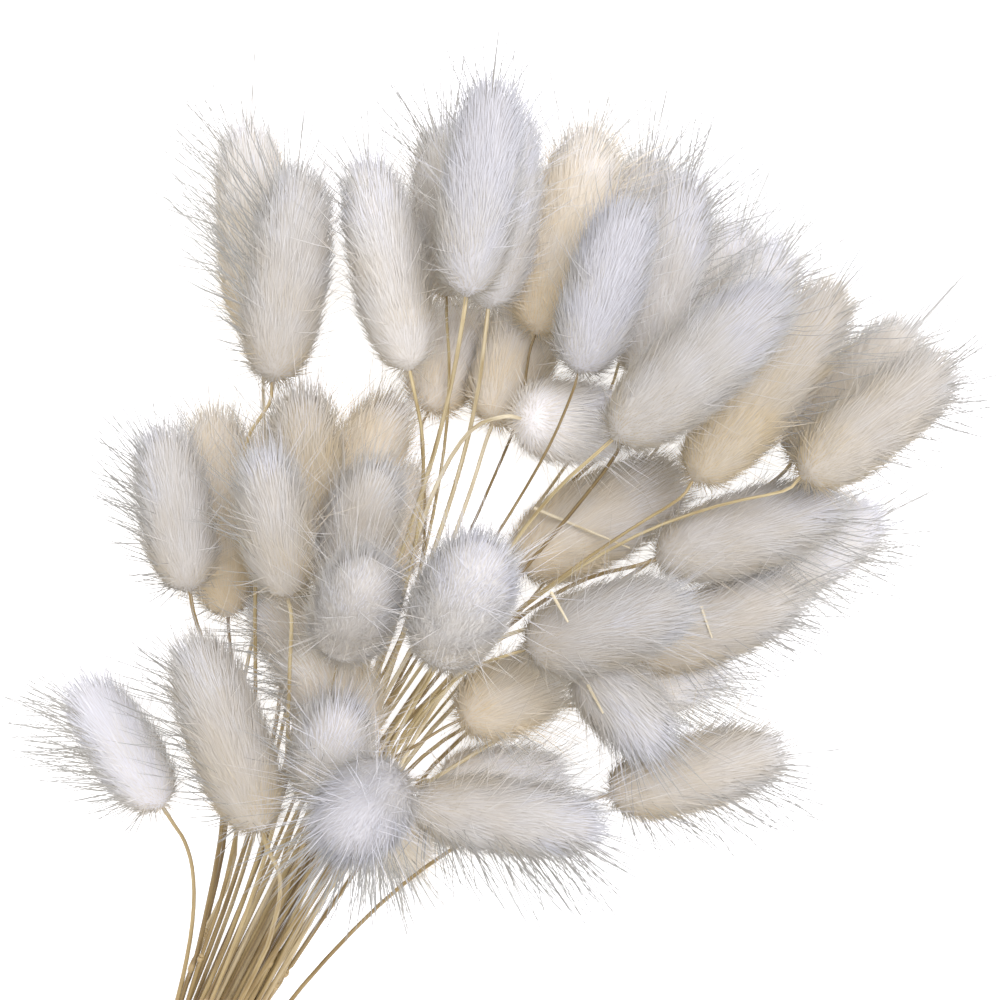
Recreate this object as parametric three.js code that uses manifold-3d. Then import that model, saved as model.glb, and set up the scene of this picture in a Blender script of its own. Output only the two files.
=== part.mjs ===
// A bunch of dried bunny tail grass, lying on a flat surface. Forty-seven straw stems are tied
// with twine, and each ends in one soft oval head that bristles with long awns.
// Lengths are in millimetres, +Z is up from the surface, and +Y runs from the cut ends to the heads.
import * as THREE from "three";
import { mergeVertices } from "three/addons/utils/BufferGeometryUtils.js";
import Module from "manifold-3d";

const wasm = await Module();
wasm.setup();

// The heads' places are given as an eye high above the bunch sees them, on a level plane that
// passes through the middle of the bunch. In that view the stems lean to the left.
const EYE_HEIGHT = 550;
const PLANE_HEIGHT = 50;
const LEAN = THREE.MathUtils.degToRad(28);

// Each head: where it starts on its stem, where its soft tip ends, and its girth.
// A place is x and y in the view, then the height above the surface.
const HEADS = [
  [[-45.6, 23.4, 46], [-39.4, 68, 50], 17],
  [[-47.6, 31, 20], [-50.6, 77, 16], 15.6],
  [[-18, 25.6, 52], [-27.4, 70, 46], 15.6],
  [[-6.8, 40.4, 72], [-0.6, 85, 78], 16],
  [[-2.4, 38, 52], [2.4, 80, 54], 16],
  [[-10.6, 40.6, 34], [-10, 76.4, 32], 16],
  [[-14.4, 17.6, 17], [-6.4, 40, 15], 15],
  [[7, 33, 36], [20, 76, 38], 17],
  [[-1.6, 15, 25], [8.6, 43, 21], 16.4],
  [[15.6, 25.2, 62], [26.6, 60, 68], 16],
  [[28, 24, 44], [38, 66.4, 42], 17],
  [[38, 24, 7.2], [49, 55.6, 7.2], 15],
  [[38, 20, 26], [57.6, 51, 26], 16],
  [[22.4, 12, 72], [58, 43, 76], 18],
  [[38.4, 3.6, 52], [69.6, 44, 48], 17.6],
  [[58.4, 7.6, 30], [83.6, 35.6, 30], 16.4],
  [[60, 4.4, 56], [91, 28, 54], 16.4],
  [[4, 16.4, 46], [24, 15, 30], 16],
  [[3, -13, 16], [38, 6, 16], 19],
  [[31, -12, 38], [70, 0, 34], 17],
  [[46, -20, 9], [77, -2, 9], 15],
  [[27, -31, 28], [61.2, -17.6, 32], 16],
  [[5, -30, 62], [38.6, -20, 66], 17],
  [[17, -32.4, 48], [32.4, -49.6, 56], 16],
  [[20, -40, 6.5], [44.4, -33, 6.5], 12.4],
  [[21.6, -59, 40], [58, -49.6, 42], 15.6],
  [[-17.6, -61, 52], [21.6, -65.6, 58], 15.6],
  [[-12, -56, 7], [13, -56, 7], 13.6],
  [[-8, -44, 26], [13, -33.6, 23], 16],
  [[-30, -59, 13], [-15, -72.5, 7], 14],
  [[-23, -57, 66], [-32.5, -68, 90], 20],
  [[-36.4, -59, 42], [-31, -41, 60], 15.6],
  [[-28.4, -48, 26], [-39.6, -29, 43], 17],
  [[-31.5, -29, 60], [-26, -13, 90], 18.4],
  [[-29, -41, 8], [-47.6, -18, 27], 16],
  [[-33, -20, 44], [-23.6, 7.6, 62], 16],
  [[-37.6, -7, 36], [-40, 22.4, 44], 15.6],
  [[-42.4, -19.6, 58], [-47.6, 10.4, 64], 14.4],
  [[-54.4, -23.6, 20], [-57.4, 19.6, 22], 15.6],
  [[-44, -24, 7], [-47, 16, 7], 14],
  [[-62, -18.4, 40], [-68, 15, 42], 14.4],
  [[-33, -2, 21], [-20.4, 20.4, 25], 14],
  [[-24, -18, 6.5], [-19.2, 7.6, 6.5], 13],
  [[-67.4, -61.6, 24], [-84.4, -36, 24], 14.4],
  [[-47.6, -66.4, 50], [-62.4, -26, 48], 17],
  [[-12, -30, 74], [-2.6, -9.6, 106], 21],
  [[25, 34, 7.5], [30, 70, 7.5], 15],
];

// A head is a lattice of rings. Every third point is drawn out into a tuft of fur that leans
// towards the tip, and most tufts carry an awn, as each spikelet of the real head does.
const HEAD_RINGS = 9;
const HEAD_SIDES = 9;
const WIDEST_AT = 0.42;
const BLUNTNESS = 2.6;
const ROUND_END = 0.8;
const VALLEY_SHARE = 0.8;
const LOWEST_TUFT = 0.93;
const HIGHEST_TUFT = 1.03;
const TUFT_LEAN = 0.75;
const NECK_RADIUS = 1.4;
const AWN_THICKNESS = 0.7;
const AWN_LENGTH = 12;
const AWNS_PER_HEAD = 10;
const AWN_CLEARANCE = 0.6;
const AWN_SPACING = 0.3;
const AWN_LIFT_AT_BASE = 62;
const AWN_LIFT_AT_TIP = 32;
const AWN_LIFT_SPREAD = 24;
const AWN_SWAY = 0.7;
const AWN_REACHES = [1, 0.75, 0.5];
const AWN_ATTEMPTS = 5;
const LAST_SHARE = 0.97;

// The stems are thin straws that stay together and low for most of their length, then fan out and
// rise to their heads.
const STEM_THICKNESS = 1.06;
const STEM_CLEARANCE = 0.6;
const STEM_REACH = 0.66;
const HEAD_PULL = 0.2;
const STEM_SAG = 0.5;
const STEM_SPREAD = 0.9;
const HEAD_GAP = 0.35;
const STEM_CORNER = STEM_THICKNESS * Math.SQRT1_2;

// The twine lies well below the heads. Under it the stems are pressed together in twelve
// clusters: three in the middle of the bunch and nine round them.
const TIE_VIEW = [-79, -148];
const TIE_LENGTH = 10;
const TIE_TURNS = 4;
const TWINE_THICKNESS = 2;
const INNER_CLUSTERS = 3;
const OUTER_CLUSTERS = 9;
const STEMS_IN_CLUSTER = 4;
const INNER_RADIUS = 2.05;
const OUTER_RADIUS = 5.35;
const PRESSED_SPACING = 0.92;
const CUT_LENGTH = 108;
const CUT_UNEVENNESS = 9;
const CUT_SPREAD = 1.4;
const CUT_STRAY = 2.5;

const bundleRadius = OUTER_RADIUS + PRESSED_SPACING * Math.SQRT1_2 + STEM_CORNER;
const tieInside = bundleRadius + 0.3;
const tieOutside = tieInside + TWINE_THICKNESS;
const along = new THREE.Vector3(Math.sin(LEAN), Math.cos(LEAN), 0);
const across = new THREE.Vector3(Math.cos(LEAN), -Math.sin(LEAN), 0);
const up = new THREE.Vector3(0, 0, 1);
const tieCentre = new THREE.Vector3(...TIE_VIEW, tieOutside);

const strawMaterial = new THREE.MeshStandardMaterial({ color: 0xcdb98c, roughness: 0.6 });
const furMaterial = new THREE.MeshStandardMaterial({ color: 0xece6da, roughness: 0.95 });
const twineMaterial = new THREE.MeshStandardMaterial({ color: 0xb89a6a, roughness: 0.9 });

// Numbers from 0 to 1 that are the same on every run.
function seededRandom(seed) {
  let state = seed;
  return () => {
    state = (state + 0x6d2b79f5) | 0;
    let t = Math.imul(state ^ (state >>> 15), 1 | state);
    t = (t + Math.imul(t ^ (t >>> 7), 61 | t)) ^ t;
    return ((t ^ (t >>> 14)) >>> 0) / 4294967296;
  };
}

const between = (low, high, share) => low + (high - low) * share;

// The real place of a point that the eye sees at x and y on the plane.
function placed([x, y, height]) {
  const nearer = (EYE_HEIGHT - height) / (EYE_HEIGHT - PLANE_HEIGHT);
  return new THREE.Vector3(x * nearer, y * nearer, height);
}

// The nearest points of the segments a-b and c-d: their shares along each, and the gap vector.
function nearest(a, b, c, d) {
  const u = b.clone().sub(a);
  const v = d.clone().sub(c);
  const w = a.clone().sub(c);
  const uu = u.dot(u);
  const uv = u.dot(v);
  const vv = v.dot(v);
  const uw = u.dot(w);
  const vw = v.dot(w);
  const clamp = THREE.MathUtils.clamp;
  const parallel = uu * vv - uv * uv;
  let s = parallel > 1e-9 ? clamp((uv * vw - vv * uw) / parallel, 0, 1) : 0;
  const t = clamp((uv * s + vw) / vv, 0, 1);
  s = clamp((uv * t - uw) / uu, 0, 1);
  const gap = w.addScaledVector(u, s).addScaledVector(v, -t);
  return { s, t, gap, distance: gap.length() };
}

// A head's place, direction and size. Its thick middle stretch is what others keep clear of.
function headOf([start, end, seenGirth], index) {
  const base = placed(start);
  const tip = placed(end);
  const axis = tip.clone().sub(base);
  const length = axis.length();
  axis.normalize();
  const middle = (start[2] + end[2]) / 2;
  const radius = (seenGirth / 2) * ((EYE_HEIGHT - middle) / (EYE_HEIGHT - PLANE_HEIGHT));
  const bodyStart = base.clone().addScaledVector(axis, radius * ROUND_END);
  const bodyEnd = tip.clone().addScaledVector(axis, -radius * ROUND_END);
  return { index, base, tip, axis, length, radius, bodyStart, bodyEnd };
}

// How wide the head is at a share of its length, as a share of its greatest width.
function fullness(share) {
  const side = share < WIDEST_AT ? WIDEST_AT : 1 - WIDEST_AT;
  return Math.sqrt(Math.max(0, 1 - Math.pow(Math.abs(share - WIDEST_AT) / side, BLUNTNESS)));
}

// Every third point of a ring is a tuft, and the next ring's tufts stand between this one's.
function isTuft(ring, side) {
  const step = side + 3 * HEAD_RINGS - ring - Math.floor(ring / 2);
  return ring > 0 && ring < HEAD_RINGS - 1 && step % 3 === 0;
}

function headGeometry(head, turn, isClear) {
  const random = seededRandom(1000 + head.index);
  const points = [];
  const faces = [];
  const spacing = head.length / (HEAD_RINGS - 0.4);
  const place = new THREE.Matrix4().compose(head.base, turn, new THREE.Vector3(1, 1, 1));
  const back = place.clone().invert();

  // A point that would sink into the surface is pressed flat onto it.
  function addPoint(point) {
    const world = point.clone().applyMatrix4(place);
    if (world.z < 0) {
      world.z = 0;
      point.copy(world.applyMatrix4(back));
    }
    points.push(point.x, point.y, point.z);
    return points.length / 3 - 1;
  }

  const lattice = [];
  const twist = random() * Math.PI * 2;
  for (let ring = 0; ring < HEAD_RINGS; ring++) {
    lattice.push([]);
    for (let side = 0; side < HEAD_SIDES; side++) {
      const angle = twist + ((side + (ring % 2) / 2) / HEAD_SIDES) * Math.PI * 2;
      const tuft = isTuft(ring, side);
      const drawn = tuft ? TUFT_LEAN * between(0.8, 1.2, random()) : 0;
      const height = (ring + drawn) * spacing;
      const full = head.radius * fullness(Math.min(height / head.length, LAST_SHARE));
      const tuftShare = between(LOWEST_TUFT, HIGHEST_TUFT, random());
      const out = tuft ? full * tuftShare : Math.max(NECK_RADIUS, full * VALLEY_SHARE);
      const radius = ring === 0 ? NECK_RADIUS : out;
      lattice[ring].push(
        new THREE.Vector3(Math.cos(angle) * radius, Math.sin(angle) * radius, height),
      );
    }
  }
  const indices = lattice.map((ring) => ring.map((point) => addPoint(point)));
  const at = (ring, side) => indices[ring][(side + HEAD_SIDES) % HEAD_SIDES];
  const pointAt = (ring, side) => lattice[ring][(side + HEAD_SIDES) % HEAD_SIDES];

  // The six lattice points round one, anticlockwise from outside.
  function roundAbout(ring, side) {
    const shift = ring % 2;
    return [
      [ring, side + 1],
      [ring + 1, side + shift],
      [ring + 1, side + shift - 1],
      [ring, side - 1],
      [ring - 1, side + shift - 1],
      [ring - 1, side + shift],
    ];
  }

  // An awn leaves the tuft's tip outwards and forwards, and is turned or shortened to keep clear.
  function awnTip(ring, side) {
    const root = pointAt(ring, side);
    const outwards = new THREE.Vector3(root.x, root.y, 0).normalize();
    const sideways = new THREE.Vector3(-outwards.y, outwards.x, 0);
    const rootPlace = root.clone().applyMatrix4(place);
    const share = root.z / head.length;
    for (const reach of AWN_REACHES) {
      for (let attempt = 0; attempt < AWN_ATTEMPTS; attempt++) {
        const middleLift = between(AWN_LIFT_AT_BASE, AWN_LIFT_AT_TIP, share);
        const lift = THREE.MathUtils.degToRad(middleLift + AWN_LIFT_SPREAD * (random() - 0.5));
        const sway = AWN_SWAY * (random() - 0.5);
        const length = AWN_LENGTH * reach * between(0.8, 1.2, random());
        const direction = outwards
          .clone()
          .multiplyScalar(Math.sin(lift))
          .addScaledVector(sideways, sway)
          .addScaledVector(up, Math.cos(lift))
          .normalize();
        const tip = root.clone().addScaledVector(direction, length);
        if (isClear(head, rootPlace, tip.clone().applyMatrix4(place))) return tip;
      }
    }
    return null;
  }

  const awns = new Map();
  const tufts = [];
  for (let ring = 1; ring < HEAD_RINGS - 1; ring++) {
    for (let side = 0; side < HEAD_SIDES; side++) {
      if (isTuft(ring, side)) tufts.push([ring, side]);
    }
  }
  const mixed = ([ring, side]) => (5 * ring + 7 * side) % 11;
  tufts.sort((one, other) => mixed(one) - mixed(other));
  for (const [ring, side] of tufts) {
    if (awns.size === AWNS_PER_HEAD) break;
    const tip = awnTip(ring, side);
    if (tip) awns.set(at(ring, side), { ring, side, tip });
  }

  function addFace(a, b, c) {
    if (![a, b, c].some((corner) => awns.has(corner))) faces.push(a, b, c);
  }
  for (let ring = 0; ring < HEAD_RINGS - 1; ring++) {
    const shift = ring % 2;
    for (let side = 0; side < HEAD_SIDES; side++) {
      addFace(at(ring, side), at(ring, side + 1), at(ring + 1, side + shift));
      addFace(at(ring, side), at(ring + 1, side + shift), at(ring + 1, side + shift - 1));
    }
  }
  const middle = addPoint(new THREE.Vector3(0, 0, 0));
  const apex = addPoint(new THREE.Vector3(0, 0, head.length));
  for (let side = 0; side < HEAD_SIDES; side++) {
    faces.push(middle, at(0, side + 1), at(0, side));
    faces.push(at(HEAD_RINGS - 1, side), at(HEAD_RINGS - 1, side + 1), apex);
  }

  // Each awn is a slim three-sided needle whose foot is let into the tip of its tuft.
  for (const { ring, side, tip } of awns.values()) {
    const root = pointAt(ring, side);
    const direction = tip.clone().sub(root).normalize();
    const round = roundAbout(ring, side);
    const foot = [1, 3, 5].map((corner) => {
      const towards = pointAt(...round[corner]).clone().sub(root);
      towards.addScaledVector(direction, -towards.dot(direction)).normalize();
      return addPoint(root.clone().addScaledVector(towards, AWN_THICKNESS / 2));
    });
    const end = addPoint(tip);
    const ringOf = round.map(([r, s]) => at(r, s));
    for (let i = 0; i < 3; i++) {
      const next = foot[(i + 1) % 3];
      faces.push(ringOf[2 * i], ringOf[2 * i + 1], foot[i]);
      faces.push(ringOf[2 * i + 1], ringOf[(2 * i + 2) % 6], foot[i]);
      faces.push(ringOf[(2 * i + 2) % 6], next, foot[i]);
      faces.push(foot[i], next, end);
    }
  }

  const kept = [...new Set(faces)];
  const renumbered = new Map(kept.map((old, position) => [old, position]));
  const positions = kept.flatMap((old) => points.slice(3 * old, 3 * old + 3));
  const geometry = new THREE.BufferGeometry();
  geometry.setAttribute("position", new THREE.Float32BufferAttribute(positions, 3));
  geometry.setIndex(faces.map((old) => renumbered.get(old)));
  return geometry;
}

// Every stem belongs to a cluster under the twine that lies the way its head does.
function clustersOf(heads) {
  const seenFromTie = heads.map((head) => {
    const way = head.base.clone().sub(tieCentre);
    const forward = way.dot(along);
    return { head, side: way.dot(across) / forward, rise: way.z / forward };
  });
  const mean = (key) => seenFromTie.reduce((sum, item) => sum + item[key], 0) / heads.length;
  const [meanSide, meanRise] = [mean("side"), mean("rise")];
  for (const item of seenFromTie) {
    item.angle = Math.atan2(item.rise - meanRise, item.side - meanSide);
    item.away = Math.hypot(item.rise - meanRise, item.side - meanSide);
  }
  seenFromTie.sort((a, b) => a.away - b.away);
  const innerCount = INNER_CLUSTERS * STEMS_IN_CLUSTER;
  const byAngle = (items) => items.sort((a, b) => a.angle - b.angle);
  const clusters = [];
  function deal(items, count, radius) {
    for (let number = 0; number < count; number++) {
      const from = Math.round((number * items.length) / count);
      const to = Math.round(((number + 1) * items.length) / count);
      const angle = -Math.PI + ((number + 0.5) / count) * Math.PI * 2;
      const members = items.slice(from, to).map((item) => item.head);
      clusters.push({ members, angle, radius });
    }
  }
  deal(byAngle(seenFromTie.slice(0, innerCount)), INNER_CLUSTERS, INNER_RADIUS);
  deal(byAngle(seenFromTie.slice(innerCount)), OUTER_CLUSTERS, OUTER_RADIUS);
  return clusters;
}

// The stations of one stem: its cut end, the tied stretch, a smooth bend up to its head, and a
// short straight neck in line with the head.
const BEND_SHARES = [0.1, 0.24, 0.4, 0.56, 0.72, 0.87];
const NECK_LENGTH = 4;

function stationsOf(head, slot, random) {
  const [side, rise] = slot;
  const tied = tieCentre.clone().addScaledVector(across, side).addScaledVector(up, rise);
  const cut = tieCentre
    .clone()
    .addScaledVector(across, side * CUT_SPREAD + CUT_STRAY * (random() - 0.5))
    .addScaledVector(up, rise * CUT_SPREAD + CUT_STRAY * (random() - 0.5))
    .addScaledVector(along, -CUT_LENGTH - CUT_UNEVENNESS * (random() - 0.5));
  const below = tied.clone().addScaledVector(along, -TIE_LENGTH / 2);
  const above = tied.clone().addScaledVector(along, TIE_LENGTH / 2);
  const end = head.base.clone().addScaledVector(head.axis, -HEAD_GAP);
  const neck = end.clone().addScaledVector(head.axis, -NECK_LENGTH);
  const pull = STEM_REACH * above.distanceTo(neck);
  const lastPull = neck.clone().addScaledVector(head.axis, -pull * HEAD_PULL);
  lastPull.z = between(lastPull.z, above.z, STEM_SAG);
  const firstPull = above
    .clone()
    .addScaledVector(along, pull)
    .addScaledVector(across, side * STEM_SPREAD)
    .addScaledVector(up, rise * STEM_SPREAD);
  const bend = new THREE.CubicBezierCurve3(above, firstPull, lastPull, neck);
  return [cut, below, above, ...BEND_SHARES.map((share) => bend.getPoint(share)), neck, end];
}

// Stems that would touch are eased apart, and each is eased round the heads in its way. What
// moves one of its stations also draws the next ones along, so that the stem stays smooth.
const EASING_ROUNDS = 420;
const SMOOTHED_ROUNDS = 280;
const FIRST_FREE_STATION = 3;
const NEAREST_STEPS = 6;
const EASE_OFF_HEAD = 0.6;
const SMOOTHING = 0.2;
const LOWEST_STEM = STEM_CORNER + 0.05;

function easeApart(stems, heads) {
  const least = 2 * STEM_CORNER + STEM_CLEARANCE;
  const moves = (stem, station) =>
    station === 0 || (station >= FIRST_FREE_STATION && station < stem.stations.length - 2);
  function push(stem, station, amount, share) {
    if (moves(stem, station)) stem.stations[station].addScaledVector(amount, share);
    if (moves(stem, station + 1)) stem.stations[station + 1].addScaledVector(amount, 1 - share);
  }
  for (let round = 0; round < EASING_ROUNDS; round++) {
    for (let first = 0; first < stems.length; first++) {
      for (let second = first + 1; second < stems.length; second++) {
        const [one, other] = [stems[first], stems[second]];
        const from = one.cluster === other.cluster ? FIRST_FREE_STATION + 1 : 0;
        for (let i = from; i < one.stations.length - 1; i++) {
          const firstNear = Math.max(from, i - NEAREST_STEPS);
          const lastNear = Math.min(other.stations.length - 2, i + NEAREST_STEPS);
          for (let j = firstNear; j <= lastNear; j++) {
            const [a, b] = [one.stations[i], one.stations[i + 1]];
            const found = nearest(a, b, other.stations[j], other.stations[j + 1]);
            if (found.distance >= least) continue;
            const way = found.gap.clone();
            if (way.lengthSq() < 1e-6) way.copy(up);
            way.setLength((least - found.distance) * 0.5);
            push(one, i, way, 1 - found.s);
            push(other, j, way.negate(), 1 - found.t);
          }
        }
      }
    }
    for (const stem of stems) {
      for (let i = 0; i < stem.stations.length - 1; i++) {
        for (const head of heads) {
          if (head === stem.head) continue;
          const [a, b] = [stem.stations[i], stem.stations[i + 1]];
          const found = nearest(a, b, head.bodyStart, head.bodyEnd);
          const room = head.radius + STEM_CORNER + STEM_CLEARANCE;
          if (found.distance >= room) continue;
          const way = found.gap.clone().setLength((room - found.distance) * EASE_OFF_HEAD);
          push(stem, i, way, 1 - found.s);
        }
        stem.stations[i].z = Math.max(stem.stations[i].z, LOWEST_STEM);
      }
      const smoothing = SMOOTHING * Math.max(0, 1 - round / SMOOTHED_ROUNDS);
      for (let i = FIRST_FREE_STATION; i < stem.stations.length - 2; i++) {
        const drift = [i - 1, i + 1].map((at) => stem.stations[at].clone().sub(stem.course[at]));
        const halfway = drift[0].add(drift[1]).multiplyScalar(0.5).add(stem.course[i]);
        stem.stations[i].lerp(halfway, smoothing);
      }
    }
  }
}

// A path that runs straight from station to station.
class StationPath extends THREE.Curve {
  constructor(stations) {
    super();
    this.stations = stations;
  }
  getPoint(t, target = new THREE.Vector3()) {
    const run = t * (this.stations.length - 1);
    const step = Math.min(Math.floor(run), this.stations.length - 2);
    return target.lerpVectors(this.stations[step], this.stations[step + 1], run - step);
  }
  getPointAt(t, target) {
    return this.getPoint(t, target);
  }
  getTangentAt(t, target) {
    return this.getTangent(t, target);
  }
  getSpacedPoints(divisions) {
    return this.getPoints(divisions);
  }
}

// A stem has a square section. Those of a cluster are turned differently, so that their flats
// never lie in one plane where they are pressed together.
const SECTION_TURN = 0.4;

function stemGeometry(stations, place) {
  const centre = new THREE.Vector2(0, 0);
  const corners = [0, 1, 2, 3].map((corner) => {
    const angle = ((corner + 0.5) * Math.PI) / 2 + place * SECTION_TURN;
    return new THREE.Vector2(STEM_CORNER, 0).rotateAround(centre, angle);
  });
  const section = new THREE.Shape(corners);
  return new THREE.ExtrudeGeometry(section, {
    steps: stations.length - 1,
    extrudePath: new StationPath(stations),
    bevelEnabled: false,
  });
}

// Corners nearer than this are one corner.
const WELD = 0.002;

function solidOf(geometry) {
  const bare = new THREE.BufferGeometry();
  bare.setAttribute("position", geometry.getAttribute("position"));
  if (geometry.index) bare.setIndex(geometry.index);
  const merged = mergeVertices(bare, WELD);
  const vertProperties = merged.getAttribute("position").array;
  const triVerts = [];
  for (let i = 0; i < merged.index.count; i += 3) {
    const [a, b, c] = merged.index.array.slice(i, i + 3);
    if (a !== b && b !== c && c !== a) triVerts.push(a, b, c);
  }
  return new wasm.Manifold(
    new wasm.Mesh({ numProp: 3, vertProperties, triVerts: new Uint32Array(triVerts) }),
  );
}

function geometryOf(solid) {
  const mesh = solid.getMesh();
  const geometry = new THREE.BufferGeometry();
  geometry.setAttribute("position", new THREE.BufferAttribute(mesh.vertProperties, 3));
  geometry.setIndex(new THREE.BufferAttribute(mesh.triVerts, 1));
  return geometry;
}

// The pieces joined in one solid, without slivers. A hollow that they close between them is filled.
const SLIVER = 0.02;

function fused(geometries) {
  const solids = geometries.map(solidOf);
  const whole = solids.slice(1).reduce((joined, next) => joined.add(next), solids[0]);
  const surfaces = solidOf(geometryOf(whole.simplify(SLIVER))).decompose();
  surfaces.sort((a, b) => b.volume() - a.volume());
  return geometryOf(surfaces[0]);
}

// The turns of twine lie side by side, so their outside is a row of rounded ridges, each with a
// narrow flat crest. The lowest facet of each crest rests on the surface.
const TIE_SIDES = 12;
const VALLEY_DEPTH = 0.7;
const CREST_SHARE = 0.5;
const KNOT_RADIUS = 2.4;
const KNOT_HEIGHT = tieOutside + KNOT_RADIUS * 0.45;
const TAIL_LENGTH = 15;
const TAIL_SPREAD = 0.9;
const TAIL_LIFT = 0.25;

function twineGeometry() {
  const width = TIE_TURNS * TWINE_THICKNESS;
  const profile = [new THREE.Vector2(tieInside, -width / 2)];
  const crest = (TWINE_THICKNESS * CREST_SHARE) / 2;
  for (let turn = 0; turn < TIE_TURNS; turn++) {
    const middle = (turn + 0.5) * TWINE_THICKNESS - width / 2;
    const valley = middle - TWINE_THICKNESS / 2;
    if (turn > 0) profile.push(new THREE.Vector2(tieOutside - VALLEY_DEPTH, valley));
    profile.push(new THREE.Vector2(tieOutside, middle - crest));
    profile.push(new THREE.Vector2(tieOutside, middle + crest));
  }
  profile.push(new THREE.Vector2(tieInside, width / 2));
  profile.push(profile[0].clone());
  const flat = 1 / Math.cos(Math.PI / TIE_SIDES);
  const ring = new THREE.LatheGeometry(profile, TIE_SIDES, Math.PI / TIE_SIDES);
  ring.scale(flat, 1, flat);
  const knot = new THREE.IcosahedronGeometry(KNOT_RADIUS, 0);
  knot.scale(1.25, 0.9, 0.85);
  knot.translate(0, 0, KNOT_HEIGHT);
  const tails = [-1, 1].map((side) => {
    const tail = new THREE.CylinderGeometry(0.8, 0.95, TAIL_LENGTH, 5, 1);
    tail.translate(0, TAIL_LENGTH / 2, 0);
    tail.rotateZ(side * TAIL_SPREAD);
    tail.rotateX(TAIL_LIFT);
    tail.translate(0, 0, KNOT_HEIGHT);
    return tail;
  });
  return fused([ring, knot, ...tails]);
}

const heads = HEADS.map(headOf);
const random = seededRandom(7);
const stems = [];
clustersOf(heads).forEach((cluster, number) => {
  const { members, angle, radius } = cluster;
  const pressedRadius = PRESSED_SPACING / (2 * Math.sin(Math.PI / members.length));
  members.forEach((head, place) => {
    const turn = angle + ((place + 0.5) / members.length) * Math.PI * 2;
    const slot = [
      Math.cos(angle) * radius + Math.cos(turn) * pressedRadius,
      Math.sin(angle) * radius + Math.sin(turn) * pressedRadius,
    ];
    const stations = stationsOf(head, slot, random);
    const course = stations.map((station) => station.clone());
    stems.push({ head, cluster: number, stations, course });
  });
});
easeApart(stems, heads);

// An awn keeps clear of the surface, the stems, the other heads and the awns already set.
const awnsSet = [];
function isClear(head, root, tip) {
  if (tip.z < AWN_CLEARANCE) return false;
  for (const other of heads) {
    if (other === head) continue;
    const room = other.radius + AWN_CLEARANCE;
    if (nearest(root, tip, other.bodyStart, other.bodyEnd).distance < room) return false;
  }
  for (const stem of stems) {
    for (let i = 0; i < stem.stations.length - 1; i++) {
      const [a, b] = [stem.stations[i], stem.stations[i + 1]];
      if (nearest(root, tip, a, b).distance < STEM_CORNER + AWN_CLEARANCE) return false;
    }
  }
  for (const [start, end] of awnsSet) {
    if (nearest(root, tip, start, end).distance < AWN_THICKNESS + AWN_SPACING) return false;
  }
  awnsSet.push([root, tip]);
  return true;
}

const bunch = new THREE.Group();
const numbered = (name, number) => `${name}_${String(number + 1).padStart(2, "0")}`;

heads.forEach((head, number) => {
  const turn = new THREE.Quaternion().setFromUnitVectors(up, head.axis);
  const mesh = new THREE.Mesh(headGeometry(head, turn, isClear), furMaterial);
  mesh.name = numbered("head", number);
  mesh.position.copy(head.base);
  mesh.quaternion.copy(turn);
  bunch.add(mesh);
});

for (let number = 0; number < INNER_CLUSTERS + OUTER_CLUSTERS; number++) {
  const members = stems.filter((stem) => stem.cluster === number);
  const geometry = fused(members.map((stem, place) => stemGeometry(stem.stations, place)));
  const mesh = new THREE.Mesh(geometry, strawMaterial);
  mesh.name = numbered("stems", number);
  bunch.add(mesh);
}

const twine = new THREE.Mesh(twineGeometry(), twineMaterial);
twine.name = "twine";
twine.position.copy(tieCentre);
twine.rotation.z = -LEAN;
bunch.add(twine);

// The bunch is turned so that its stems run along Y, and set with the middle of its foot at the origin.
bunch.rotation.z = LEAN;
bunch.updateMatrixWorld(true);
const box = new THREE.Box3().setFromObject(bunch, true);
bunch.position.set(-(box.min.x + box.max.x) / 2, -(box.min.y + box.max.y) / 2, -box.min.z);

const part = new THREE.Group();
part.add(bunch);

export default part;
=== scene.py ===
import math
import random

import bmesh
import bpy
from mathutils import Matrix, Vector, noise


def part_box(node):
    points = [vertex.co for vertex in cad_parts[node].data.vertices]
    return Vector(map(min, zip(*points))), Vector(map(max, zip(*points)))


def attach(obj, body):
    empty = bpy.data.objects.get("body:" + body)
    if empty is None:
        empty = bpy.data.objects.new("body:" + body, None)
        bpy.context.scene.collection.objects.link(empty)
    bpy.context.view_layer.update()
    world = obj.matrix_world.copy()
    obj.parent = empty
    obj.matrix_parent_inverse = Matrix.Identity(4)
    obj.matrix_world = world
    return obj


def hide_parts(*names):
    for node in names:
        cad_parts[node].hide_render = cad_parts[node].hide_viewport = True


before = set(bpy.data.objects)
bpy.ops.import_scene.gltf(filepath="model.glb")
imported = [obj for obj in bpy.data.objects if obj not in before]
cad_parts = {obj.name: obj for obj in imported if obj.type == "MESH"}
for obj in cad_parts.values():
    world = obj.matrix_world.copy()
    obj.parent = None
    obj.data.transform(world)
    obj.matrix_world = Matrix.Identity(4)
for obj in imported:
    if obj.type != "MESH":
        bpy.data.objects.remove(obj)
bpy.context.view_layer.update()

# The view. The bunch lies on a pale table and is seen from straight above, at the distance from
# which its heads were set out. In that view its stems lean to the left. The sizes are in
# millimetres, and those of the light and of the table top in metres.
MM = 0.001
EYE_HEIGHT = 550
PLANE_HEIGHT = 50
LEAN = math.radians(28)
VIEW_WIDTH = 200
SENSOR = 36
TIE_VIEW = (-79, -148)
TIE_WIDTH = 8

tie_low, tie_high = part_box("twine")
tie_x = (tie_low.x + tie_high.x) / 2 / MM
tie_y = tie_low.y / MM + TIE_WIDTH / 2
lean_turn = Matrix.Rotation(LEAN, 3, "Z")
view_middle = Vector((tie_x, tie_y, 0)) - lean_turn @ Vector((*TIE_VIEW, 0))


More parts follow.
